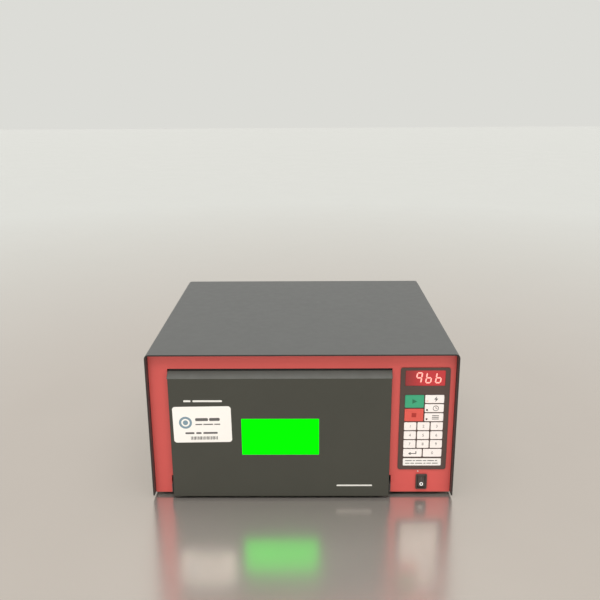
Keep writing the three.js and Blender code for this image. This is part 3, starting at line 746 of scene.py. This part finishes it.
def build_display():
    refined("display_window", DISPLAY_GLOW, 0.15)
    refined("display_module", BLACK_PLASTIC, 0.3)
    strokes = []
    for i, character in enumerate(READING):
        x = (i - 1.5) * DIGIT_PITCH - DIGITS_LEFT
        for letter in SEGMENTS.get(character, ""):
            strokes.append([(x + u, v) for u, v in segment_outlines(letter)])
    middle = centre_of("display_window")
    face = facing((middle.x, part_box("display_window")[0].y, middle.z + DIGITS_UP * MM))
    printed("display_digits", strokes, face, "cabinet", SEGMENT_LIGHT)


def build_panel():
    refined("keypad_overlay", OVERLAY_FILM, 0.12)
    refined("keypad_circuit", WHITE_PLASTIC, 0.2)
    refined("control_board", CIRCUIT, 0.2)
    build_keys()
    build_key_lights()
    build_display()

    # The white note strip under the keys carries two lines of plain bars.
    strip = facing((centre_of("keypad_overlay").x, OVERLAY_LOW.y, OVERLAY_LOW.z + 11.2 * MM))
    printed("note_strip", [rounded(0, 0, 51, 10.8, 1.0, 4)], strip, "cabinet", PAPER)
    ink = strip @ Matrix.Translation((0, 0, PRINT))
    notes = greeked(-22.5, 1.9, (9, 3, 8, 5, 9, 3), 1.1, 1.2)
    notes += greeked(-22.5, -2.0, (6, 5, 10, 3, 6, 8), 1.1, 1.2)
    printed("note_lines", notes, ink, "cabinet", GREY_INK)

    dot = mesh_from("panel_dot", lathe([(0, 0), (0.9, 0), (0.9, 0.2), (0.6, 0.5), (0, 0.6)], 20))
    place = facing((156.3 * MM, BEZEL_FRONT, 36.1 * MM))
    smoothed(link_piece("panel_dot", dot, "cabinet", WHITE_PLASTIC, transform=place))


# ------------------------------------------------------------------ power parts
def build_power():
    refined("power_switch_body", SWITCH_PLASTIC, 0.4, 3)
    refined("power_rocker", SWITCH_PLASTIC, 0.5, 3)
    refined("mains_inlet", BLACK_PLASTIC, 0.4, merge=False)
    refined("fuse_drawer", BLACK_PLASTIC, 0.25, merge=False)
    for i in range(1, 6):
        refined(f"ballast_{i}", IRON, 0.6)
    refined("power_transformer", IRON, 0.6)
    build_rocker_marks()

    middle = centre_of("mains_inlet")
    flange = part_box("mains_inlet")[1].y
    screw_reach = 20 * MM
    for label, side in SIDES:
        screw(f"inlet_screw_{label}", (middle.x + side * screw_reach, flange, middle.z), (0, 1, 0), scale=0.8,
              turn=40)
    # Brass over each of the inlet's three blades, which stand on the socket's floor.
    socket_depth, blade_length = 16 * MM, 11.2 * MM
    for i, (x, z) in enumerate(((-7, 2), (7, 2), (0, 6))):
        blade = prism([rounded(0, 0, 2.1 * MM, 4.1 * MM, 0.4 * MM, 3)], blade_length)
        place = Matrix.Translation((middle.x - x * MM, flange - socket_depth, middle.z + z * MM)) @ REAR
        link_piece(f"inlet_blade_{i + 1}", mesh_from("inlet_blade", blade), "cabinet", BRASS,
                   transform=place)


def build_rocker_marks():
    """A ring on the off end and a bar on the on end, lying on the tilted rocker."""
    joint = next(j for j in frame["joints"] if j["name"] == "power_rocker_tilt")
    rest = Matrix.Translation(joint["pos_m"]) @ turned(-12, "X")
    lean = math.degrees(math.atan2(1.4, 7.6))  # each end of the rocker slopes by this much
    ahead, reach = 4.35 * MM, 4.0 * MM  # from the pivot to the middle of each end's face
    marks = (("rocker_ring", -1, ring(0, 0, 2.3, 1.35, 28), BRIGHT_INK),
             ("rocker_bar", 1, [rectangle(0, 0, 0.6, 3.8)], DIM_INK))
    for name, side, shapes, ink in marks:
        lobe = Matrix.Translation((0, -ahead, side * reach))
        face = rest @ lobe @ turned(side * lean, "X") @ FACE
        printed(name, shapes, face, "rocker", ink)


# ------------------------------------------------------------------ chamber
def build_lamp(node):
    """A quartz tube with pinched ends, aluminium caps and brass pins."""
    low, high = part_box(node)
    centre = centre_of(node)
    pin, cap, pin_offset = 7.0, 12.0, 2.4
    radius = (high.x - low.x) / 2 / MM
    length = (high.y - low.y) / MM - 2 * pin
    along = Matrix.Translation((centre.x, low.y + pin * MM, centre.z)) @ turned(-90, "X")
    glass = [(0, cap - 2), (radius - 0.8, cap - 2), (radius - 0.5, cap + 2), (radius - 0.4, cap + 6),
             (radius - 0.4, length - cap - 6), (radius - 0.5, length - cap - 2),
             (radius - 0.8, length - cap + 2), (0, length - cap + 2)]
    smoothed(link_piece(f"{node}_glass", mesh_from(f"{node}_glass", lathe(glass)), "cabinet",
                        QUARTZ, (node,), along), 50)
    cap_profile = [(0, 0), (radius - 0.8, 0), (radius - 0.2, 0.5), (radius, 1.2), (radius, cap - 0.5),
                   (radius - 0.3, cap), (0, cap)]
    pin_profile = [(0, -pin), (0.8, -pin), (1.1, 0.4 - pin), (1.1, 0.2), (0, 0.2)]
    far_end = along @ Matrix.Translation((0, 0, length * MM)) @ turned(180, "X")
    for end, place in (("front", along), ("rear", far_end)):
        metal = mesh_from(f"{node}_cap", lathe(cap_profile))
        smoothed(link_piece(f"{node}_cap_{end}", metal, "cabinet", BRIGHT_ALUMINIUM,
                            transform=place), 40)
        for label, side in (("a", -1), ("b", 1)):
            contact = mesh_from(f"{node}_pin", lathe(pin_profile, 16))
            shift = Matrix.Translation((0, side * pin_offset * MM, 0))
            smoothed(link_piece(f"{node}_pin_{end}_{label}", contact, "cabinet", BRASS,
                                transform=place @ shift))


def build_chamber():
    refined("chamber_liner", BRIGHT_ALUMINIUM, 0.3, merge=False)
    refined("lamp_reflector", BRIGHT_ALUMINIUM, 0.25)
    for end in ("front", "rear"):
        refined(f"lampholder_rail_{end}", WHITE_PLASTIC, 0.5, merge=False)
    for node in ("magnet_catch_left", "magnet_catch_right", "interlock_switch"):
        refined(node, BLACK_PLASTIC, 0.4)
    refined("uv_sensor", BLACK_PLASTIC, 0.6, 3)
    for i in range(1, 6):
        build_lamp(f"uv_lamp_{i}")


make_camera()
make_studio()
build_shell()
build_door()
build_panel()
build_power()
build_chamber()
